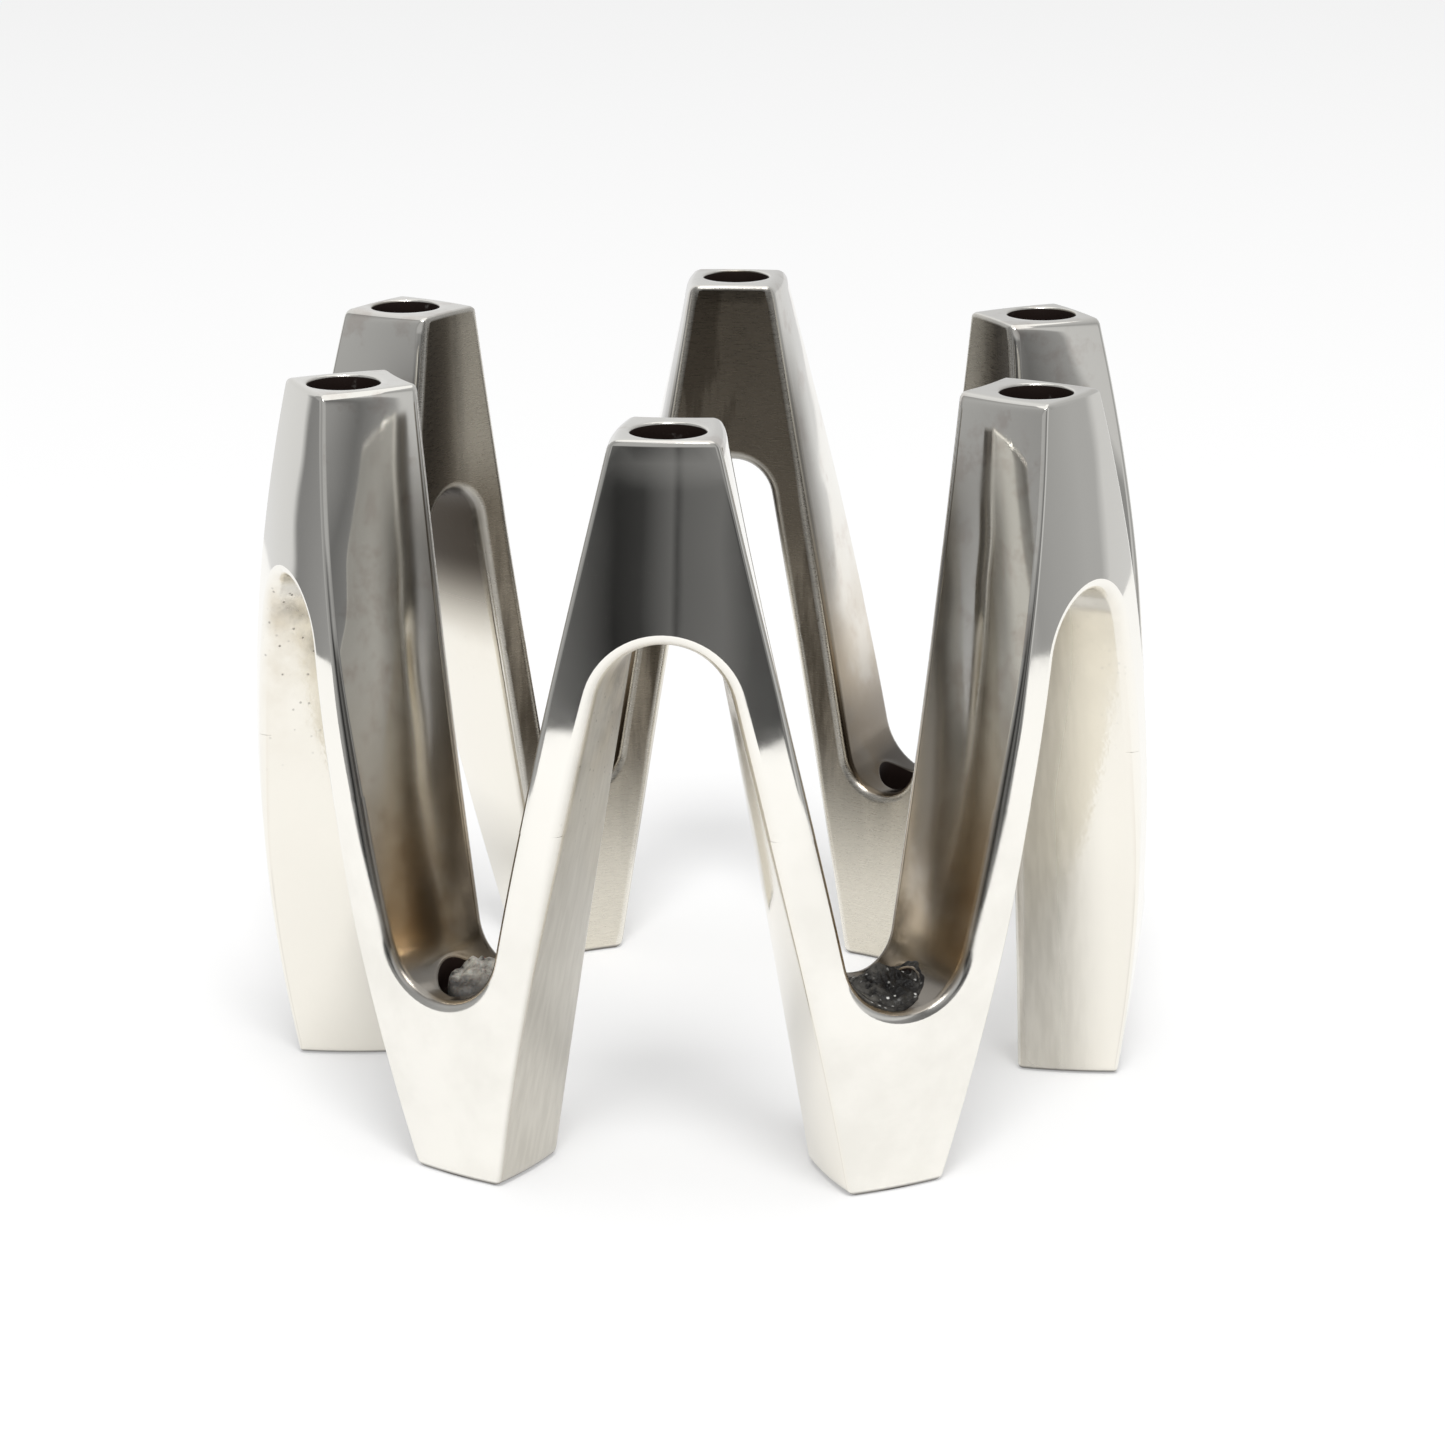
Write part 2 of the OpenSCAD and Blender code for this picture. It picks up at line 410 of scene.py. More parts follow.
    def wrap(self, flat: Vector) -> Vector:
        """Where a point of the flat plate comes to lie on the ring, with the front peak at the front.

        Args:
            flat: The point, along the ring, inwards and up.

        Returns:
            The point in the ring's frame.
        """
        o = self.outline
        share = flat.y / self.thickness
        near_arch = math.exp(-((flat.z - o.height + o.outer.saddle) / self.tilt_spread) ** 2)
        tilt = (o.outer.saddle - o.inner.saddle) * near_arch
        angle = abs(flat.x) / o.outer.radius
        arch, flank = o.outer.angles(flat.z, o.height)
        arch_in, flank_in = o.inner.angles(flat.z + tilt, o.height)
        across = min(1.0, max(0.0, (angle - arch) / (flank - arch)))
        angle += share * (arch_in + across * (flank_in - arch_in) - angle)
        outer = o.outer_radius(min(flat.z, o.height))
        radius = outer + (o.inner.radius - outer) * share
        bulge = self.bulge * 4 * share * (1 - share)
        under = min(1.0, arch * o.outer.radius / self.bulge_fade)
        angle += (across - (1 - across) * under) * bulge / radius
        angle = math.copysign(angle, flat.x)
        return Vector((radius * math.sin(angle), -radius * math.cos(angle), flat.z + share * tilt))


def edges_at(verts: Iterable[BMVert]) -> list[BMEdge]:
    """The edges that end in some points, in the same order each run."""
    return list(dict.fromkeys(e for v in verts for e in v.link_edges))


@dataclass
class Socket:
    """A round candle socket sunk into a casting."""

    from_centre: float
    bottom: float
    radius: float = 6.0
    rim: tuple[tuple[float, float], ...] = ((0.42, 0.0), (0.25, 0.05), (0.1, 0.17), (0.0, 0.4))
    wall_steps: int = 8
    floor_round: float = 0.8
    probe: float = 45.0

    def sink(self, bm: BMesh, block: list[BMFace]) -> None:
        """Opens a block of faces and sinks the socket through it.

        Args:
            bm: The casting, with its peak or foot at the front.
            block: Faces that surround the socket's mouth.
        """
        skin = BVHTree.FromBMesh(bm)
        bmesh.ops.delete(bm, geom=block, context="FACES")
        border = [e for e in bm.edges if e.is_boundary]
        axis = Vector((0, -self.from_centre, 0))
        circle = bmesh.ops.create_circle(
            bm, segments=len(border), radius=self.radius + self.rim[0][0], matrix=Matrix.Translation(axis))
        mouth = circle["verts"]
        self.lay(skin, mouth)
        ring = edges_at(mouth)
        bridge = bmesh.ops.bridge_loops(bm, edges=border + ring)
        spokes = [e for e in bridge["edges"] if (e.verts[0] in mouth) != (e.verts[1] in mouth)]
        cuts = bmesh.ops.subdivide_edges(bm, edges=spokes, cuts=2, use_grid_fill=True)["geom_inner"]
        self.lay(skin, [g for g in cuts if isinstance(g, BMVert)])
        for (wide, depth), (_, above) in zip(self.rim[1:], self.rim):
            ring = self.step(bm, ring, axis, self.radius + wide, lambda z: z - (depth - above))
        target = self.bottom + self.floor_round
        for i in range(1, self.wall_steps + 1):
            left = 1 / (self.wall_steps + 1 - i)
            ring = self.step(bm, ring, axis, self.radius, lambda z: z + (target - z) * left)
        ring = self.step(bm, ring, axis, self.radius - self.floor_round, lambda z: self.bottom)
        bmesh.ops.edgeloop_fill(bm, edges=ring)
        inside = bm.verts.layers.float["socket"]
        for v in bm.verts:
            if (Vector((v.co.x, v.co.y, 0)) - axis).length < self.radius + TOUCH:
                v[inside] = 1.0

    def lay(self, skin: BVHTree, verts: list[BMVert]) -> None:
        """Moves points up or down onto the casting's surface round the socket.

        Args:
            skin: The surface before the socket's mouth was opened.
            verts: The points to move.
        """
        for v in verts:
            hit = skin.ray_cast(Vector((v.co.x, v.co.y, self.bottom + self.probe)), DOWN)[0]
            if hit:
                v.co.z = hit.z

    @staticmethod
    def step(bm: BMesh, ring: list[BMEdge], axis: Vector, radius: float,
             height: Callable[[float], float]) -> list[BMEdge]:
        """Carries a round wall one ring further.

        Args:
            bm: The mesh.
            ring: Edges of the last ring.
            axis: A point of the wall's axis.
            radius: Radius of the next ring.
            height: Gives the next ring's height from the last one's.

        Returns:
            Edges of the next ring.
        """
        grown = bmesh.ops.extrude_edge_only(bm, edges=ring)["geom"]
        for v in (g for g in grown if isinstance(g, BMVert)):
            flat = Vector((v.co.x - axis.x, v.co.y - axis.y, 0)).normalized() * radius
            v.co = Vector((axis.x + flat.x, axis.y + flat.y, height(v.co.z)))
        return [g for g in grown if isinstance(g, BMEdge) and all(v in grown for v in g.verts)]


def turn_pitches(bm: BMesh, pitches: float) -> None:
    """Turns a mesh about the ring's axis by a number of pitches."""
    bmesh.ops.rotate(bm, cent=(0, 0, 0), matrix=Matrix.Rotation(pitches * PITCH, 3, "Z"), verts=bm.verts[:])


def shade_smooth(bm: BMesh) -> None:
    """Turns faces outwards and shades them smooth.

    Args:
        bm: The closed mesh.
    """
    bmesh.ops.recalc_face_normals(bm, faces=bm.faces[:])
    for face in bm.faces:
        face.smooth = True


def new_object(bm: BMesh, name: str, material: Material) -> Object:
    """Puts a mesh in the scene.

    Args:
        bm: The mesh in metres, which is freed.
        name: The object's name.
        material: Its finish.

    Returns:
        The object.
    """
    mesh = bpy.data.meshes.new(name)
    bm.to_mesh(mesh)
    bm.free()
    mesh.materials.append(material)
    made = bpy.data.objects.new(name, mesh)
    bpy.context.scene.collection.objects.link(made)
    return made


def finish_piece(bm: BMesh, name: str, material: Material, body: str, slot: Slot, node: str) -> None:
    """Scales a mesh to metres and puts it in the scene in place of its CAD node.

    Args:
        bm: The piece in millimetres, which is freed.
        name: The piece's name.
        material: Its finish.
        body: The CAD body it moves with.
        slot: The record's material slot, which is not used.
        node: The CAD node it stands for.
    """
    sort_parts(bm)
    bmesh.ops.scale(bm, vec=(METRES, METRES, METRES), verts=bm.verts[:])
    piece = new_object(bm, name, material)
    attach(piece, body)
    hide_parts(node)
    LOG.info("%s: %d faces", name, len(piece.data.polygons))


@dataclass
class SilverRing:
    """The twelve castings of the ring."""

    pattern: CastingPattern = field(default_factory=CastingPattern)
    peak_socket: Socket = field(default_factory=lambda: Socket(from_centre=65.0, bottom=106.4))
    valley_socket: Socket = field(default_factory=lambda: Socket(from_centre=66.4, bottom=14.1))
    floor_facing: float = -0.2
    lip_normals: tuple[float, float] = (0.05, 0.95)
    top_band: float = 5.0

    def top_block(self, bm: BMesh) -> list[BMFace]:
        """The flat top of the plate inside a thin loop that holds its rim.

        Args:
            bm: The flat plate.

        Returns:
            The faces to open for a peak's socket.
        """
        p = self.pattern
        first, last = (radius + p.support for radius in p.rounding.top)
        return [f for f in bm.faces
                if f.normal.z > ACROSS and min(v.co.z for v in f.verts) > p.outline.height - TOUCH
                and first < f.calc_center_median().y < p.thickness - last]

    def floor_block(self, bm: BMesh) -> list[BMFace]:
        """The middle of the arch's underside, which is the valley floor of a foot.

        Args:
            bm: The flat plate.

        Returns:
            The faces to open for a valley's socket.
        """
        p = self.pattern
        low = p.outline.height - p.outline.outer.floor_centre
        return [f for f in bm.faces if abs(f.normal.y) < ALONG and f.normal.z < self.floor_facing
                and f.calc_center_median().z > low and abs(f.calc_center_median().x) < p.block_half
                and p.block_depths[0] < f.calc_center_median().y < p.block_depths[1]]

    def mark(self, bm: BMesh, kind: Casting) -> None:
        """Marks the rounded edges and the walls of the arches, for the finish.

        Args:
            bm: The flat plate.
            kind: Whether it becomes a peak or a foot.
        """
        line, height = self.pattern.outline.outer, self.pattern.outline.height
        flattest, steepest = self.lip_normals
        lip, arch = (bm.verts.layers.float.new(name) for name in ("lip", "arch"))
        bm.verts.layers.float.new("socket")
        for v in bm.verts:
            v[lip] = float(any(flattest < abs(f.normal.y) < steepest for f in v.link_faces))
            under, flank = (angle * line.radius for angle in line.angles(v.co.z, height))
            at_arch = abs(abs(v.co.x) - under) < abs(abs(v.co.x) - flank) and v.co.z < height - self.top_band
            counts = at_arch == (kind is Casting.PEAK) and v.co.z < height - TOUCH
            v[arch] = 1 - v.normal.y ** 2 if counts else 0.0

    def casting(self, plate: BMesh, kind: Casting) -> BMesh:
        """One casting with its socket, at the front of the ring.

        Args:
            plate: The flat plate of the pattern, which is kept.
            kind: Whether it stands as a peak or hangs as a foot.

        Returns:
            The closed casting.
        """
        o = self.pattern.outline
        bm = plate.copy()
        bm.normal_update()
        self.mark(bm, kind)
        block = self.top_block(bm) if kind is Casting.PEAK else self.floor_block(bm)
        for v in bm.verts:
            v.co = self.pattern.wrap(v.co)
        if kind is Casting.FOOT:
            bmesh.ops.scale(bm, vec=(1, 1, -1), verts=bm.verts[:])
            bmesh.ops.translate(bm, vec=(0, 0, o.height), verts=bm.verts[:])
            bmesh.ops.reverse_faces(bm, faces=bm.faces[:])
        bm.normal_update()
        socket = self.peak_socket if kind is Casting.PEAK else self.valley_socket
        socket.sink(bm, block)
        bmesh.ops.bisect_plane(
            bm, geom=[*bm.verts, *bm.edges, *bm.faces], dist=SNAP, plane_co=(0, 0, o.mid), plane_no=(0, 0, 1),
            clear_inner=kind is Casting.PEAK, clear_outer=kind is Casting.FOOT)
        bmesh.ops.remove_doubles(bm, verts=bm.verts[:], dist=WELD)
        joint = [e for e in bm.edges if e.is_boundary]
        for edge in joint:
            edge.smooth = False
        bmesh.ops.edgeloop_fill(bm, edges=joint)
        shade_smooth(bm)
        return bm

    def build(self, material: Material) -> BVHTree:
        """Builds the six peaks and the six feet.

        Args:
            material: The silver plate.

        Returns:
            The surface of a foot at the front of the ring, in millimetres.
        """
        plate = self.pattern.build()
        for kind, places, start in ((Casting.PEAK, PEAK_PLACES, 0.0), (Casting.FOOT, FOOT_PLACES, 0.5)):
            master = self.casting(plate, kind)
            for i, place in enumerate(places):
                bm = master.copy()
                turn_pitches(bm, i + start)
                node = f"{kind.value}_{place}"
                finish_piece(bm, f"silver_{node}", material, "ring", Slot.SILVER, node)
            skin = BVHTree.FromBMesh(master)
            master.free()
        plate.free()
        return skin


@dataclass
class SocketFilling:
    """Candle remains in a valley socket, modelled about the socket's axis."""

    socket: Socket

    @staticmethod
    def start(bm: BMesh, segments: int, radius: float, bottom: float) -> list[BMEdge]:
        """Lays the round bottom face.

        Args:
            bm: An empty mesh.
            segments: Number of its edges.
            radius: Its radius.
            bottom: Its height.

        Returns:
            Its edges.
        """
        circle = bmesh.ops.create_circle(
            bm, cap_ends=True, segments=segments, radius=radius, matrix=Matrix.Translation((0, 0, bottom)))
        return edges_at(circle["verts"])

    def settle(self, bm: BMesh, pitches: float) -> None:
        """Closes a mesh and moves it into its valley's socket.

        Args:
            bm: The mesh.
            pitches: Turn from the front to the valley.
        """
        bmesh.ops.translate(bm, vec=(0, -self.socket.from_centre, 0), verts=bm.verts[:])
        bmesh.ops.remove_doubles(bm, verts=bm.verts[:], dist=WELD)
        shade_smooth(bm)
        turn_pitches(bm, pitches)


@dataclass
class CandleStub(SocketFilling):
    """The torn end of a burnt-down candle, loose in the socket of the front left valley."""

    pitches: float = 5.5
    radius: float = 4.9
    gap: float = 0.3
    bottom_round: tuple[float, float] = (0.3, 0.35)
    rise: float = 1.3
    slope: float = math.radians(17)
    lean: tuple[float, float] = (-0.15, 0.75)
    seed: int = 3
    torn_depth: float = 9.0
    tears: tuple[Wave, ...] = (Wave(0.42, 5.0, 0.75), Wave(1.1, 2.2, 0.5))
    dent: float = 0.16
    sway: float = 0.55
    fold: float = 0.6
    slack: float = 0.25
    segments: int = 96
    wall_rings: int = 34
    top_rings: int = 16

    def crumple(self, co: Vector, floor: float) -> Vector:
        """Where a point of the plain candle end comes to lie once it is torn and dented.

        Args:
            co: The point, from the socket's axis.
            floor: Height of the valley floor.

        Returns:
            The moved point.
        """
        up = smooth_share(co.z, floor - self.torn_depth, floor + self.rise)
        sway = (noise.noise_vector(co * 0.21) * 0.9 + noise.noise_vector(co * 0.62) * 0.35) * self.sway
        dents = noise.noise(Vector((co.x * 0.3, co.y * 0.3, co.z * 0.16)) + Vector((3, 7, 1))) + 0.25
        narrow = 1 - self.dent * up * max(0.0, dents)
        fold = math.exp(-((co.x * 0.5 + co.y * 0.85 - 0.6) / 0.8) ** 2) * self.fold
        moved = Vector((
            co.x * narrow + (self.lean[0] + sway.x) * up, co.y * narrow + (self.lean[1] + sway.y) * up,
            co.z + up * up * (ripples(co, self.tears) + fold + co.y * math.tan(self.slope))))
        reach = math.hypot(moved.x, moved.y)
        limit = self.socket.radius - self.slack
        if reach > limit:
            moved.x, moved.y = moved.x * limit / reach, moved.y * limit / reach
        return moved

    def build(self, material: Material, floor: float) -> None:
        """Builds the candle end.

        Args:
            material: Sooty wax.
            floor: Height of the valley floor.
        """
        noise.seed_set(self.seed)
        bottom, top = self.socket.bottom + self.gap, floor + self.rise
        inset, lift = self.bottom_round
        low, tall = bottom + lift, top - bottom - 2 * lift
        bm = bmesh.new()
        ring = self.start(bm, self.segments, self.radius - inset, bottom)
        for i in range(self.wall_rings + 1):
            ring = Socket.step(bm, ring, Vector(), self.radius, lambda z: low + tall * i / self.wall_rings)
        for i in range(1, self.top_rings):
            ring = Socket.step(bm, ring, Vector(), self.radius * (1 - i / self.top_rings), lambda z: top)
        bmesh.ops.edgeloop_fill(bm, edges=ring)
        for v in bm.verts:
            v.co = self.crumple(v.co, floor)
        self.settle(bm, self.pitches)
        finish_piece(bm, "torn_candle_end", material, "stub", Slot.WAX, "candle_stub")


@dataclass
class CharredWax(SocketFilling):
    """Charred wax that fills the front right valley's socket and spills over its floor as a thin film."""

    pitches: float = 0.5
    crust: float = 1.8
    lumps: tuple[Wave, ...] = (Wave(0.55, 0.55, 0.75), Wave(1.5, 9.0, 0.4), Wave(4.0, 12.0, 0.14))
    hollow: float = 0.055
    heap: float = 2.4
    heap_at: tuple[float, float] = (0.8, 3.2)
    heap_spread: float = 8.0
    film: float = 0.22
    film_lumps: float = 0.12
    reach: float = 6.5
    spill: float = 2.4
    spill_back: float = 1.1
    shore: tuple[float, float] = (1.2, 0.7)
    film_start: tuple[float, float] = (1.6, 0.2)
    rim_drop: float = 0.35
    gap: float = 0.1
    plug_top: float = 2.0
    probe: float = 20.0
    wall_drop: float = 4.0
    segments: int = 120
    rings: int = 40

    def film_reach(self, angle: float) -> float:
        """How far the film spreads from the socket's axis in a direction.

        Args:
            angle: The direction, in radians.

        Returns:
            The distance in millimetres.
        """
        way = Vector((math.cos(angle), math.sin(angle), 0))
        spill = self.spill * max(0.0, way.x * -0.8 + way.y * -0.6) + self.spill_back * max(0.0, way.y)
        ragged = noise.noise(way * 1.7 + Vector((4, 0, 2))) * 0.9 + noise.noise(way * 5) * 0.35
        return self.reach + spill + ragged

    def height(self, skin: BVHTree, co: Vector, floor: float) -> float:
        """Height of the crust or the film at a point.

        Args:
            skin: The foot's surface.
            co: The point, from the socket's axis.
            floor: Height of the valley floor.

        Returns:
            The height in millimetres.
        """
        out, radius = math.hypot(co.x, co.y), self.socket.radius
        lumps = ripples(co, self.lumps)
        plug = floor + self.crust * (1 - (out / radius) ** 2) + lumps + self.hollow * co.x ** 2
        aside = (co.x - self.heap_at[0]) ** 2 + (co.y - self.heap_at[1]) ** 2
        plug += self.heap * math.exp(-aside / self.heap_spread)
        hit = skin.ray_cast(Vector((co.x, co.y - self.socket.from_centre, floor + self.probe)), DOWN)[0]
        edge = smooth_share(out, radius - self.shore[0], radius + self.shore[1])
        ground = hit.z if hit and hit.z > floor - self.wall_drop else plug
        laid = ground + self.film + lumps * self.film_lumps
        return plug + (laid - plug) * edge

    def build(self, material: Material, skin: BVHTree, floor: float) -> None:
        """Builds the crust with its film.

        Args:
            material: Charred wax.
            skin: The foot's surface.
            floor: Height of the valley floor.
        """
        bm = bmesh.new()
        film = bm.verts.layers.float.new("film")
        radius = self.socket.radius
        ring = self.start(bm, self.segments, radius - self.gap, self.socket.bottom + self.gap)
        ring = Socket.step(bm, ring, Vector(), radius - self.gap, lambda z: floor - self.plug_top)
        for i in range(self.rings):
            ring = Socket.step(bm, ring, Vector(), 1.0, lambda z: floor)
            drop = self.rim_drop if i == 0 else 0.0
            for v in dict.fromkeys(v for e in ring for v in e.verts):
                angle = math.atan2(v.co.y, v.co.x)
                out = self.film_reach(angle) * (1 - i / self.rings)
                v.co = Vector((out * math.cos(angle), out * math.sin(angle), 0))
                v.co.z = self.height(skin, v.co, floor) - drop
                v[film] = smooth_share(out, radius - self.film_start[0], radius - self.film_start[1])
        bmesh.ops.edgeloop_fill(bm, edges=ring)
        self.settle(bm, self.pitches)
        finish_piece(bm, "charred_wax_crust", material, "ring", Slot.CHAR, "wax_residue")


class Wires:
    """Short calls that add nodes to a shader tree and join them."""

    def __init__(self, tree: NodeTree) -> None:
        """Starts on the tree of a material, world or node group."""
        self.tree = tree

    def put(self, socket: NodeSocket, value: object) -> None:
        """Joins a socket to another one, or sets its value.

        Args:
            socket: The socket to fill.
            value: The other socket, or the value.
        """
        if isinstance(value, NodeSocket):
            self.tree.links.new(value, socket)
        else:
            socket.default_value = value

    def node(self, kind: str, inputs: dict | None = None, **settings: object) -> Node:
        """Adds a node.

        Args:
            kind: The node's type without its leading ShaderNode.
            inputs: Values or sockets for its inputs, by name or number.
            settings: The node's own settings.

        Returns:
            The node.
        """
        made = self.tree.nodes.new("ShaderNode" + kind)
        for name, value in settings.items():
            setattr(made, name, value)
        for key, value in (inputs or {}).items():
            self.put(made.inputs[key], value)
        return made

    def math(self, operation: str, a: object, b: object = 0.0, clamp: bool = False) -> NodeSocket:
        """A Math node's result."""
        return self.node("Math", {0: a, 1: b}, operation=operation, use_clamp=clamp).outputs[0]

    def chain(self, operation: str, values: tuple[object, ...]) -> NodeSocket:
        """A Math operation on several numbers, from the first to the last.

        Args:
            operation: The Math node's operation.
            values: The numbers.

        Returns:
            The result.
        """
        result = values[0]
        for value in values[1:]:
            result = self.math(operation, result, value)
        return result

    def times(self, *values: object) -> NodeSocket:
        """The product of several numbers."""
        return self.chain("MULTIPLY", values)

    def most(self, *values: object) -> NodeSocket:
        """The largest of several numbers."""
        return self.chain("MAXIMUM", values)

    def less(self, a: object, b: object) -> NodeSocket:
        """A number less another, from 0 to 1."""
        return self.math("SUBTRACT", a, b, clamp=True)

    def join(self, x: object, y: object, z: object = 0.0) -> NodeSocket:
        """A vector made of three numbers."""
        return self.node("CombineXYZ", {0: x, 1: y, 2: z}).outputs[0]

    def vector(self, operation: str, a: object, b: object = (0, 0, 0)) -> NodeSocket:
        """A Vector Math node's result."""
        made = self.node("VectorMath", {0: a, 1: b}, operation=operation)
        return made.outputs["Value" if operation in ("DOT_PRODUCT", "LENGTH") else "Vector"]

    def ease(self, value: object, low: object, high: object,
             to_low: float = 0.0, to_high: float = 1.0) -> NodeSocket:
        """A value mapped from one range to another, eased and clamped."""
        inputs = {"Value": value, "From Min": low, "From Max": high, "To Min": to_low, "To Max": to_high}
        return self.node("MapRange", inputs, interpolation_type="SMOOTHSTEP").outputs["Result"]

    def blend(self, share: object, a: object, b: object, kind: str = "MIX") -> NodeSocket:
        """Two colours mixed by a share.

        Args:
            share: How much of the second colour there is.
            a: The first colour.
            b: The second colour.
            kind: The Mix node's blend type.

        Returns:
            The colour.
        """
        made = self.node("Mix", data_type="RGBA", blend_type=kind)
        for socket, value in zip((made.inputs[0], made.inputs[6], made.inputs[7]), (share, a, b)):
            self.put(socket, value)
        return made.outputs[2]

    def between(self, share: object, a: object, b: object) -> NodeSocket:
        """Two numbers mixed by a share."""
        return self.node("Mix", {0: share, 2: a, 3: b}, data_type="FLOAT").outputs[0]

    def noise(self, vector: object, scale: object, detail: float = 3.0, rough: float = 0.5) -> NodeSocket:
        """Cloudy noise from about 0 to 1."""
        inputs = {"Vector": vector, "Scale": scale, "Detail": detail, "Roughness": rough}
        return self.node("TexNoise", inputs).outputs["Fac"]

    def attribute(self, name: str) -> NodeSocket:
        """A number that the piece's mesh carries."""
        return self.node("Attribute", attribute_name=name).outputs["Fac"]

    def effect(self, group: NodeTree, **inputs: object) -> NodeSocket:
        """The mask of a shared effect."""
        return self.node("Group", inputs, node_tree=group).outputs["Mask"]

    def bump(self, height: object, distance: float, normal: NodeSocket | None = None) -> NodeSocket:
        """A normal bent by a height from 0 to 1.

        Args:
            height: The height.
            distance: What a height of 1 is, in metres.
            normal: The normal to bend, if it isn't the surface's own.

        Returns:
            The bent normal.
        """
        inputs = {"Height": height, "Distance": distance, "Strength": 1.0}
        if normal is not None:
            inputs["Normal"] = normal
        return self.node("Bump", inputs).outputs["Normal"]


def rgb(red: float, green: float, blue: float) -> Colour:
    """A colour with full alpha."""
    return red, green, blue, 1.0


@dataclass(frozen=True)
class Effects:
    """Masks that several finishes share, as node groups."""

    patches: NodeTree
    specks: NodeTree

    @staticmethod
    def group(name: str, numbers: tuple[str, ...]) -> tuple[Wires, Node, Node]:
        """An empty group with a Vector input, number inputs and a Mask output.

        Args:
            name: The group's name.
            numbers: Names of its number inputs.

        Returns:
            The wires of its tree, its input node and its output node.
        """
        tree = bpy.data.node_groups.new(name, "ShaderNodeTree")
        tree.interface.new_socket("Vector", in_out="INPUT", socket_type="NodeSocketVector")
        for label in numbers:
            tree.interface.new_socket(label, in_out="INPUT", socket_type="NodeSocketFloat")
        tree.interface.new_socket("Mask", in_out="OUTPUT", socket_type="NodeSocketFloat")
        return Wires(tree), tree.nodes.new("NodeGroupInput"), tree.nodes.new("NodeGroupOutput")

    @classmethod
    def build(cls) -> "Effects":
        """Builds the groups.

        Returns:
            The shared effects.
        """
        w, given, out = cls.group("worn_patches", ("Scale", "Low", "High"))
        cloud = w.noise(given.outputs["Vector"], given.outputs["Scale"], 5.0, 0.6)
        w.put(out.inputs["Mask"], w.ease(cloud, given.outputs["Low"], given.outputs["High"]))
        patches = w.tree
        w, given, out = cls.group("fine_specks", ("Scale", "Size"))
        inputs = {name: given.outputs[name] for name in ("Vector", "Scale")}
        cells = w.node("TexVoronoi", inputs).outputs
        pick = w.node("SeparateXYZ", {0: cells["Color"]}).outputs[0]
        spot = w.ease(cells["Distance"], given.outputs["Size"], w.times(given.outputs["Size"], 0.4))
        w.put(out.inputs["Mask"], w.times(spot, w.ease(pick, 0.45, 0.8)))
        return cls(patches, w.tree)


class Paint(Wires):
    """Wires of a piece's material, with the shared masks laid on the piece."""

    def __init__(self, made: Material, effects: Effects) -> None:
        """Starts on a material.

        Args:
            made: The new material.
            effects: The shared masks.
        """
        made.use_nodes = True
        super().__init__(made.node_tree)
        self.effects = effects
        self.shader = made.node_tree.nodes["Principled BSDF"]
        self.at = self.node("TexCoord").outputs["Object"]
        self.x, self.y, self.height = self.node("SeparateXYZ", {0: self.at}).outputs

    def patch(self, scale: float, low: float, high: float, at: NodeSocket | None = None) -> NodeSocket:
        """Worn patches: 0 where cloudy noise is under low, 1 where it is over high."""
        place = self.at if at is None else at
        return self.effect(self.effects.patches, Vector=place, Scale=scale, Low=low, High=high)

    def speck(self, scale: float, size: float) -> NodeSocket:
        """Scattered fine specks."""
        return self.effect(self.effects.specks, Vector=self.at, Scale=scale, Size=size)


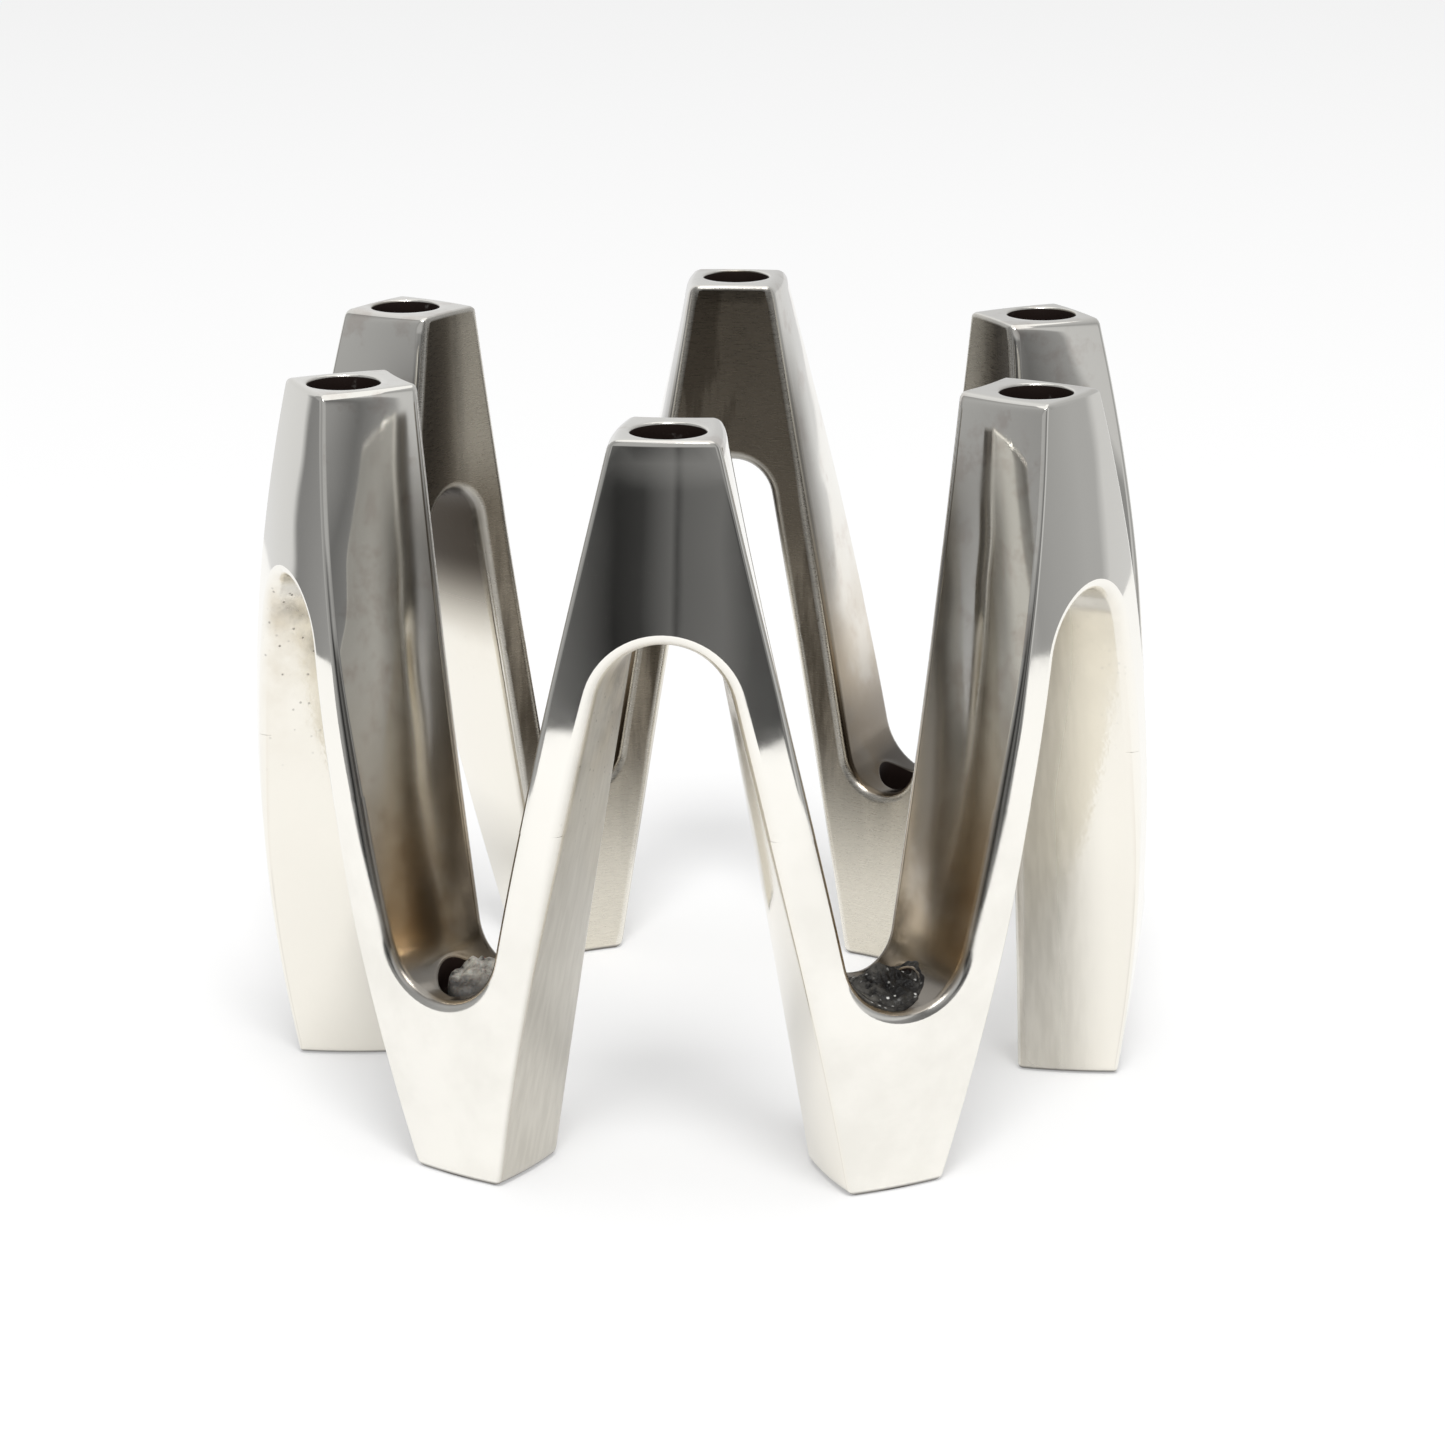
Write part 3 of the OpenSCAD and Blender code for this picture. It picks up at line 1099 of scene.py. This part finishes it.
class PlatePaint(Paint):
    """Wires of the silver plate, with masks of where a point lies on the ring."""

    def __init__(self, made: Material, effects: Effects) -> None:
        """Starts on a material.

        Args:
            made: The new material.
            effects: The shared masks.
        """
        super().__init__(made, effects)
        flat = self.join(self.x, self.y)
        normal = self.node("NewGeometry").outputs["Normal"]
        self.reach = self.vector("LENGTH", flat)
        self.facing = self.vector("DOT_PRODUCT", normal, self.vector("NORMALIZE", flat))
        # Millimetres round the inner wall and up it, and the marks of a brush drawn round it
        self.turn = self.times(self.math("ARCTAN2", self.x, self.y), 55.0)
        self.rise = self.times(self.height, 1 / METRES)
        self.brush = self.noise(self.drawn(0.35, self.facing, 4.2), 1.0, 4.0, 0.65)
        # Inner and outer faces, walls of the arches, and the other walls, which are the valleys'
        self.inner, self.outer = self.ease(self.facing, -0.5, -0.85), self.ease(self.facing, 0.45, 0.8)
        self.arch, self.socket, self.lip = (self.attribute(name) for name in ("arch", "socket", "lip"))
        self.wall = self.less(self.less(self.less(1.0, self.inner), self.outer), self.arch)
        self.left, self.behind = self.ease(self.x, 0.035, -0.02, 0.15, 1.0), self.ease(self.y, -0.01, 0.025)
        # Low valley walls, and their inner margins, where tarnish creeps round from inside
        self.deep = self.times(self.wall, self.ease(self.height, 0.09, 0.036))
        margin = self.times(self.wall, self.ease(self.reach, 0.066, 0.0565))
        self.creep = self.times(margin, self.ease(self.height, 0.125, 0.1))
        self.sooty = self.times(self.socket, self.patch(150.0, 0.12, 0.4))
        # Walls of the front and right arches, brushed dull and painted darker for the shaded floor they
        # mirror, but for the front arch's right wall, and on the right only towards the inside
        spared = self.times(self.ease(self.x, 0.0, 0.01), self.ease(self.y, -0.03, -0.04))
        near = self.most(self.ease(self.x, 0.03, 0.01), self.ease(self.reach, 0.0725, 0.061))
        self.brushed_and_painted_shade = self.times(
            self.less(1.0, spared), self.ease(self.x, -0.055, -0.04), self.ease(self.y, 0.0, -0.01), near)
        # Stains and pits near the tops of the left arches, and clouds on the walls of the back ones
        near_top, pitted = self.ease(self.height, 0.066, 0.09), self.ease(self.height, 0.05, 0.085, 0.0, 0.7)
        smudge = self.times(self.patch(52.0, 0.47, 0.66), near_top, self.left, 0.72)
        cloud = self.times(self.patch(60.0, 0.1, 0.4), self.behind, self.ease(self.height, 0.06, 0.08))
        pits = self.times(self.speck(750.0, 0.24), pitted, self.left)
        self.marks = self.most(smudge, cloud, pits)

    def drawn(self, along: float, across: NodeSocket, up: float) -> NodeSocket:
        """Coordinates for noise that is drawn out round the ring or up it."""
        return self.join(self.times(self.turn, along), across, self.times(self.rise, up))


@dataclass(frozen=True)
class Finish:
    """A procedural finish for one of the record's material slots."""

    slot: ClassVar[Slot]
    paint: ClassVar[type[Paint]] = Paint

    def material(self, effects: Effects) -> Material:
        """Builds the finish.

        Args:
            effects: The shared masks.

        Returns:
            The material.
        """
        made = bpy.data.materials.new(self.slot.value)
        p = self.paint(made, effects)
        for name, value in self.inputs(p).items():
            p.put(p.shader.inputs[name], value)
        return made

    def inputs(self, p: Paint) -> dict[str, object]:
        """What goes into the Principled BSDF.

        Args:
            p: Wires of the finish's material.

        Returns:
            Values and sockets by the name of the input.
        """
        raise NotImplementedError


@dataclass(frozen=True)
class SilverPlate(Finish):
    """Silver plate: mirror bright outside, satin and tarnished inside, sooty in the sockets."""

    slot: ClassVar[Slot] = Slot.SILVER
    paint: ClassVar[type[Paint]] = PlatePaint
    bright: Colour = rgb(0.92, 0.9, 0.845)
    satin: Colour = rgb(0.27, 0.238, 0.19)
    tarnish: Colour = rgb(0.07, 0.058, 0.044)
    pale_satin: Colour = rgb(0.74, 0.7, 0.61)
    trough: Colour = rgb(0.52, 0.42, 0.295)
    # Grey of the painted reflection of the dark room on the valley floors near the outer lip
    painted_dark_reflection: Colour = rgb(0.25, 0.24, 0.225)
    cast: Colour = rgb(0.9, 0.87, 0.795)
    # Near-black of real stains and pits, also of the painted contact shadow at the soles and the darker low
    # valley walls
    stain_and_painted_shade: Colour = rgb(0.05, 0.04, 0.031)
    haze: Colour = rgb(0.56, 0.44, 0.38)
    wash: Colour = rgb(0.54, 0.455, 0.32)
    brushed_shade_grey: Colour = rgb(0.52, 0.495, 0.44)
    film: Colour = rgb(0.64, 0.62, 0.56)
    soot: Colour = rgb(0.018, 0.011, 0.009)

    def polished(self, p: PlatePaint) -> NodeSocket:
        """Colour of the bright faces, with haze on the valley walls and a thin film low down outside.

        Args:
            p: Wires of the material.

        Returns:
            The colour.
        """
        haze = p.times(p.patch(150.0, 0.52, 0.68), p.wall)
        colour = p.blend(p.times(haze, 0.28), self.bright, self.haze)
        film = p.times(p.outer, p.patch(36.0, 0.4, 0.68), p.ease(p.height, 0.09, 0.05))
        return p.blend(p.times(film, 0.3), colour, self.film)

    def inside(self, p: PlatePaint) -> NodeSocket:
        """Colour of the inner faces: satin with drawn-out tarnish, paler towards the soles and at the far
        tops.

        Args:
            p: Wires of the material.

        Returns:
            The colour.
        """
        # Painted shade near one edge of the back side peaks' inner faces, as a broad rounding would shade it
        side = p.times(p.ease(p.y, 0.036, 0.022), p.ease(p.y, 0.0, 0.018), 0.95)
        far_top = p.times(p.ease(p.y, 0.026, 0.034), p.ease(p.y, 0.05, 0.044), p.ease(p.height, 0.088, 0.104))
        far_face = p.times(p.ease(p.y, 0.044, 0.052), p.ease(p.height, 0.06, 0.085), 0.72)
        dull_and_painted_shade = p.most(p.patch(1.0, 0.4, 0.6, p.drawn(0.11, p.facing, 0.016)), side, far_face)
        colour = p.blend(p.times(p.less(dull_and_painted_shade, far_top), 0.92), self.satin, self.tarnish)
        paler = p.most(p.ease(p.height, 0.046, 0.01), p.times(far_top, 0.6))
        shade = p.ease(p.brush, 0.3, 0.7, 0.92, 1.06)
        grey = p.node("CombineColor", {i: shade for i in range(3)}).outputs[0]
        return p.blend(1.0, p.blend(paler, colour, self.pale_satin), grey, "MULTIPLY")

    def arches(self, p: PlatePaint) -> NodeSocket:
        """Colour of the arches' walls: matt white, brushed and painted with shade in places, washed brown and
        stained near the tops.

        Args:
            p: Wires of the material.

        Returns:
            The colour.
        """
        strokes = p.noise(p.drawn(1.0, p.times(p.reach, 1 / METRES), 0.035), 0.8, 2.0)
        # Brushed grey that also paints the shade these walls mirror from the floor under the ring
        colour = p.blend(p.times(p.brushed_and_painted_shade, p.ease(strokes, 0.25, 0.75, 0.74, 0.92)), self.cast, self.brushed_shade_grey)
        wash = p.times(p.patch(38.0, 0.36, 0.58), p.ease(p.height, 0.052, 0.088), p.left)
        colour = p.blend(p.times(wash, 0.6), colour, self.wash)
        return p.blend(p.times(p.marks, 0.97), colour, self.stain_and_painted_shade)

    def valleys(self, p: PlatePaint, colour: NodeSocket) -> NodeSocket:
        """Browns the valley walls low down, paints a dark reflection on their floor near the outer lip and
        darkens them low down inside and at the back.

        Args:
            p: Wires of the material.
            colour: The colour so far.

        Returns:
            The colour.
        """
        brown = p.patch(70.0, 0.3, 0.6)
        colour = p.blend(p.times(p.deep, p.ease(brown, 0.0, 1.0, 0.55, 0.95)), colour, self.trough)
        # Painted reflection: the valley floors near the outer lip turn grey, as if they mirrored the dark
        # room in front
        painted_dark_reflection = p.times(p.wall, p.ease(p.height, 0.039, 0.0345), p.ease(p.reach, 0.063, 0.069))
        colour = p.blend(p.times(painted_dark_reflection, 0.8), colour, self.painted_dark_reflection)
        # Darker low down on the walls at the back of the ring, and towards the inside in brown patches
        inmost = p.most(p.times(p.behind, 0.9), p.times(brown, p.ease(p.reach, 0.064, 0.058)))
        darkening = p.times(p.wall, p.ease(p.height, 0.06, 0.042), inmost)
        return p.blend(p.times(darkening, 0.8), colour, self.stain_and_painted_shade)

    def roughness(self, p: PlatePaint) -> NodeSocket:
        """Roughness: mirror outside, less so on the feet, satin inside, matt on the arches and in the soot.

        Args:
            p: Wires of the material.

        Returns:
            The roughness.
        """
        foot = p.times(p.outer, p.ease(p.height, 0.08, 0.05))
        worn = p.patch(65.0, 0.35, 0.65)
        rough = p.between(foot, p.ease(worn, 0.0, 1.0, 0.045, 0.085), p.ease(worn, 0.0, 1.0, 0.12, 0.18))
        rough = p.between(p.most(p.deep, p.times(p.creep, 0.7)), rough, 0.19)
        rough = p.between(p.inner, rough, p.ease(p.brush, 0.3, 0.7, 0.24, 0.36))
        matt = p.math("ADD", p.ease(p.height, 0.05, 0.085, 0.09, 0.2), p.times(p.most(p.marks, p.brushed_and_painted_shade), 0.2))
        return p.between(p.sooty, p.between(p.arch, rough, matt), 0.6)

    def inputs(self, p: PlatePaint) -> dict[str, object]:
        """What goes into the Principled BSDF.

        Args:
            p: Wires of the material.

        Returns:
            Values and sockets by the name of the input.
        """
        dulled = p.times(p.inner, p.math("SUBTRACT", 1.0, p.times(p.lip, 0.5)))
        colour = p.blend(p.most(dulled, p.times(p.creep, 0.75)), self.polished(p), self.inside(p))
        colour = self.valleys(p, p.blend(p.arch, colour, self.arches(p)))
        colour = p.blend(p.sooty, colour, self.soot)
        # Painted shadow: a thin dark line along the soles, where the feet meet the floor
        painted_contact_shadow = p.ease(p.height, 0.001, 0.0003, 0.0, 0.85)
        wave = p.bump(p.noise(p.at, 42.0, 1.0), 0.0004)
        coarse = p.math("ADD", p.times(p.inner, 0.35), p.math("ADD", p.arch, p.socket))
        grain = p.times(p.noise(p.at, 900.0, 2.0), coarse)
        return {
            "Base Color": p.blend(painted_contact_shadow, colour, self.stain_and_painted_shade),
            "Roughness": self.roughness(p),
            "Metallic": p.between(p.sooty, 1.0, 0.25),
            "Specular IOR Level": 0.1,
            "Normal": p.bump(grain, 0.00002, wave),
        }


@dataclass(frozen=True)
class SootyWax(Finish):
    """Grey-white candle wax with soot in its folds."""

    slot: ClassVar[Slot] = Slot.WAX
    burnt_side: Triple = (-0.55, -0.83, 0.0)
    wax: Colour = rgb(0.38, 0.37, 0.335)
    darkening: Colour = rgb(0.13, 0.12, 0.105)
    soot: Colour = rgb(0.025, 0.022, 0.02)

    def inputs(self, p: Paint) -> dict[str, object]:
        """What goes into the Principled BSDF.

        Args:
            p: Wires of the material.

        Returns:
            Values and sockets by the name of the input.
        """
        darkening = p.patch(260.0, 0.38, 0.58)
        colour = p.blend(p.times(darkening, 0.85), self.wax, self.darkening)
        flecks = p.most(p.patch(520.0, 0.56, 0.66), p.times(p.speck(1500.0, 0.3), 0.6))
        colour = p.blend(flecks, colour, self.soot)
        # Soot deep in the socket, and on the side towards the front left
        ragged = p.times(p.noise(p.at, 600.0), 0.002)
        burnt = p.ease(p.math("ADD", p.vector("DOT_PRODUCT", p.at, self.burnt_side), ragged), 0.0672, 0.069)
        sooty = p.most(p.ease(p.height, 0.032, 0.028), burnt)
        return {
            "Base Color": p.blend(p.times(sooty, 0.8), colour, self.soot),
            "Roughness": p.ease(darkening, 0.0, 1.0, 0.38, 0.62),
            "Subsurface Weight": 0.08,
            "Subsurface Scale": 0.001,
            "Normal": p.bump(p.noise(p.at, 700.0, 4.0), 0.0003),
        }


@dataclass(frozen=True)
class CharCrust(Finish):
    """Black charred wax with white ash specks, thinning to a grey film."""

    slot: ClassVar[Slot] = Slot.CHAR
    char: Colour = rgb(0.008, 0.0075, 0.0075)
    film: Colour = rgb(0.11, 0.105, 0.095)
    ash: Colour = rgb(0.62, 0.62, 0.6)

    def inputs(self, p: Paint) -> dict[str, object]:
        """What goes into the Principled BSDF.

        Args:
            p: Wires of the material.

        Returns:
            Values and sockets by the name of the input.
        """
        mottle = p.patch(420.0, 0.4, 0.62)
        left = p.ease(p.x, 0.037, 0.03)
        crust = p.blend(p.times(mottle, p.ease(left, 0.0, 1.0, 0.06, 0.65)), self.char, self.film)
        thin = p.times(p.attribute("film"), p.ease(left, 0.0, 1.0, 0.3, 1.0))
        colour = p.blend(thin, crust, p.blend(mottle, self.film, self.char))
        ash = p.times(p.speck(900.0, 0.32), p.patch(210.0, 0.4, 0.54))
        return {
            "Base Color": p.blend(ash, colour, self.ash),
            "Roughness": p.ease(mottle, 0.0, 1.0, 0.28, 0.7),
            "Specular IOR Level": 0.14,
            "Normal": p.bump(p.noise(p.at, 1100.0, 4.0), 0.0004),
        }


@dataclass
class Studio:
    """Camera, light, floor and the surround that the polished metal mirrors."""

    eye: Triple = (0.0631, -0.7056, 0.2704)
    azimuth: float = math.radians(-4.9)
    elevation: float = math.radians(16.54)
    roll: float = math.radians(-0.28)
    lens: float = 106.05
    sensor: float = 36.0
    sky: float = 0.7
    lamp: Triple = (0.22, -1.4, 2.55)
    lamp_power: float = 48.0
    lamp_size: float = 0.8
    floor_half: float = 4.0
    floor_colour: Colour = rgb(0.58, 0.58, 0.58)
    floor_rough: float = 0.8
    floor_glow: float = 0.375
    surround_tint: Colour = rgb(0.98, 0.985, 0.995)
    surround_segments: int = 720
    surround_steps: tuple[float, ...] = (0.0, 0.15, 0.2, 1.1)
    # Azimuth from the front towards +X in degrees, distance in metres, brightness low down and higher up
    surround: tuple[tuple[float, float, float, float], ...] = (
        (-180, 1.0, 0.75, 0.62), (-160, 0.5, 0.82, 0.78), (-114, 0.42, 0.7, 0.68), (-111, 0.42, 0.22, 0.3),
        (-100, 0.44, 0.28, 0.36), (-84, 0.46, 0.4, 0.42), (-60, 0.46, 0.34, 0.34), (-40, 0.46, 0.28, 0.3),
        (-28, 0.46, 0.13, 0.42), (-16, 0.46, 0.024, 0.42), (-9, 0.46, 0.04, 0.42), (-2, 0.46, 0.13, 0.42),
        (-0.5, 0.46, 0.06, 0.42), (1, 0.46, 0.12, 0.42), (8, 0.46, 0.15, 0.42), (14, 0.46, 0.08, 0.42),
        (28, 0.47, 0.06, 0.35), (36, 0.47, 0.26, 0.28), (45, 0.48, 0.15, 0.15), (60, 0.5, 0.3, 0.3),
        (63, 0.5, 0.58, 0.58), (78, 0.54, 0.55, 0.55), (90, 0.5, 0.33, 0.34), (107, 0.43, 0.42, 0.44),
        (114, 0.43, 0.42, 0.44), (118, 0.45, 0.64, 0.5), (133, 0.52, 0.66, 0.5), (150, 0.8, 0.68, 0.54),
        (180, 1.0, 0.75, 0.62))

    def camera(self) -> None:
        """Stands the camera where the photograph was taken."""
        ahead = Vector((math.sin(self.azimuth) * math.cos(self.elevation),
                        math.cos(self.azimuth) * math.cos(self.elevation), -math.sin(self.elevation)))
        right = Vector((math.cos(self.azimuth), -math.sin(self.azimuth), 0))
        up = right.cross(ahead)
        turned = right * math.cos(self.roll) + up * math.sin(self.roll)
        above = up * math.cos(self.roll) - right * math.sin(self.roll)
        data = bpy.data.cameras.new("camera")
        data.lens = self.lens
        data.sensor_width = self.sensor
        made = bpy.data.objects.new("camera", data)
        made.matrix_world = Matrix((turned, above, -ahead)).transposed().to_4x4()
        made.location = self.eye
        bpy.context.scene.collection.objects.link(made)
        bpy.context.scene.camera = made

    def floor(self) -> None:
        """Lays the pale floor."""
        finish = bpy.data.materials.new("pale_floor")
        finish.use_nodes = True
        inputs = finish.node_tree.nodes["Principled BSDF"].inputs
        inputs["Base Color"].default_value = self.floor_colour
        inputs["Roughness"].default_value = self.floor_rough
        inputs["Emission Color"].default_value = rgb(1.0, 1.0, 1.0)
        inputs["Emission Strength"].default_value = self.floor_glow
        inputs["Specular IOR Level"].default_value = 0.0
        bm = bmesh.new()
        bmesh.ops.create_grid(bm, x_segments=1, y_segments=1, size=self.floor_half)
        made = new_object(bm, "floor", finish)

    def around(self, degrees: float) -> tuple[float, ...]:
        """Distance and brightness of the surround in a direction.

        Args:
            degrees: Azimuth from the front towards +X.

        Returns:
            The distance, the brightness low down and the brightness higher up.
        """
        for here, there in zip(self.surround, self.surround[1:]):
            if here[0] <= degrees <= there[0]:
                share = (degrees - here[0]) / (there[0] - here[0])
                return tuple(a + (b - a) * share for a, b in zip(here[1:], there[1:]))
        return self.surround[0][1:]

    def mirror_surround(self) -> None:
        """Stands a room round the ring, seen only in its polish."""
        finish = bpy.data.materials.new("surround")
        finish.use_nodes = True
        finish.node_tree.nodes.clear()
        w = Wires(finish.node_tree)
        glow = w.node("Emission", {"Color": self.surround_tint, "Strength": w.attribute("glow")})
        w.put(w.node("OutputMaterial").inputs["Surface"], glow.outputs[0])
        bm = bmesh.new()
        layer = bm.verts.layers.float.new("glow")
        bmesh.ops.create_circle(bm, segments=self.surround_segments, radius=1)
        ring = bm.edges[:]
        for below, above in zip(self.surround_steps, self.surround_steps[1:]):
            grown = bmesh.ops.extrude_edge_only(bm, edges=ring)["geom"]
            ring = [g for g in grown if isinstance(g, BMEdge)]
            raised = [g for g in grown if isinstance(g, BMVert)]
            bmesh.ops.translate(bm, vec=(0, 0, above - below), verts=raised)
        for v in bm.verts:
            distance, low, high = self.around(math.degrees(math.atan2(v.co.x, -v.co.y)))
            v[layer] = low + (high - low) * smooth_share(v.co.z, *self.surround_steps[1:3])
            v.co.x, v.co.y = v.co.x * distance, v.co.y * distance
        made = new_object(bm, "surround", finish)
        for ray in ("camera", "diffuse", "transmission", "volume_scatter", "shadow"):
            setattr(made, "visible_" + ray, False)

    def light(self) -> None:
        """Lights the stage softly from all round, and more from a soft box above the front."""
        world = bpy.data.worlds.new("studio")
        bpy.context.scene.world = world
        world.use_nodes = True
        w = Wires(world.node_tree)
        path = w.node("LightPath").outputs
        seen = w.most(path["Is Camera Ray"], path["Is Glossy Ray"], path["Is Transmission Ray"])
        back = world.node_tree.nodes["Background"]
        back.inputs["Color"].default_value = rgb(1.0, 1.0, 1.0)
        w.put(back.inputs["Strength"], w.between(seen, self.sky, 1.0))
        lamp = bpy.data.lights.new("soft_box", "AREA")
        lamp.size = self.lamp_size
        lamp.energy = self.lamp_power
        made = bpy.data.objects.new("soft_box", lamp)
        made.location = self.lamp
        made.rotation_euler = (-Vector(self.lamp)).to_track_quat("-Z", "Y").to_euler()
        bpy.context.scene.collection.objects.link(made)

    def build(self) -> None:
        """Sets the whole stage."""
        self.camera()
        self.floor()
        self.mirror_surround()
        self.light()
        bpy.context.scene.view_settings.view_transform = "Standard"


def main() -> None:
    """Builds the stage and every piece, and reports them."""
    logging.basicConfig(level=logging.INFO, format="%(message)s")
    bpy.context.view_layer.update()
    Studio().build()
    effects = Effects.build()
    ring = SilverRing()
    skin = ring.build(SilverPlate().material(effects))
    edges = ring.pattern.outline
    floor = (edges.outer.saddle + edges.inner.saddle) / 2
    CandleStub(ring.valley_socket).build(SootyWax().material(effects), floor)
    CharredWax(ring.valley_socket).build(CharCrust().material(effects), skin, floor)


if __name__ == "__main__":
    main()
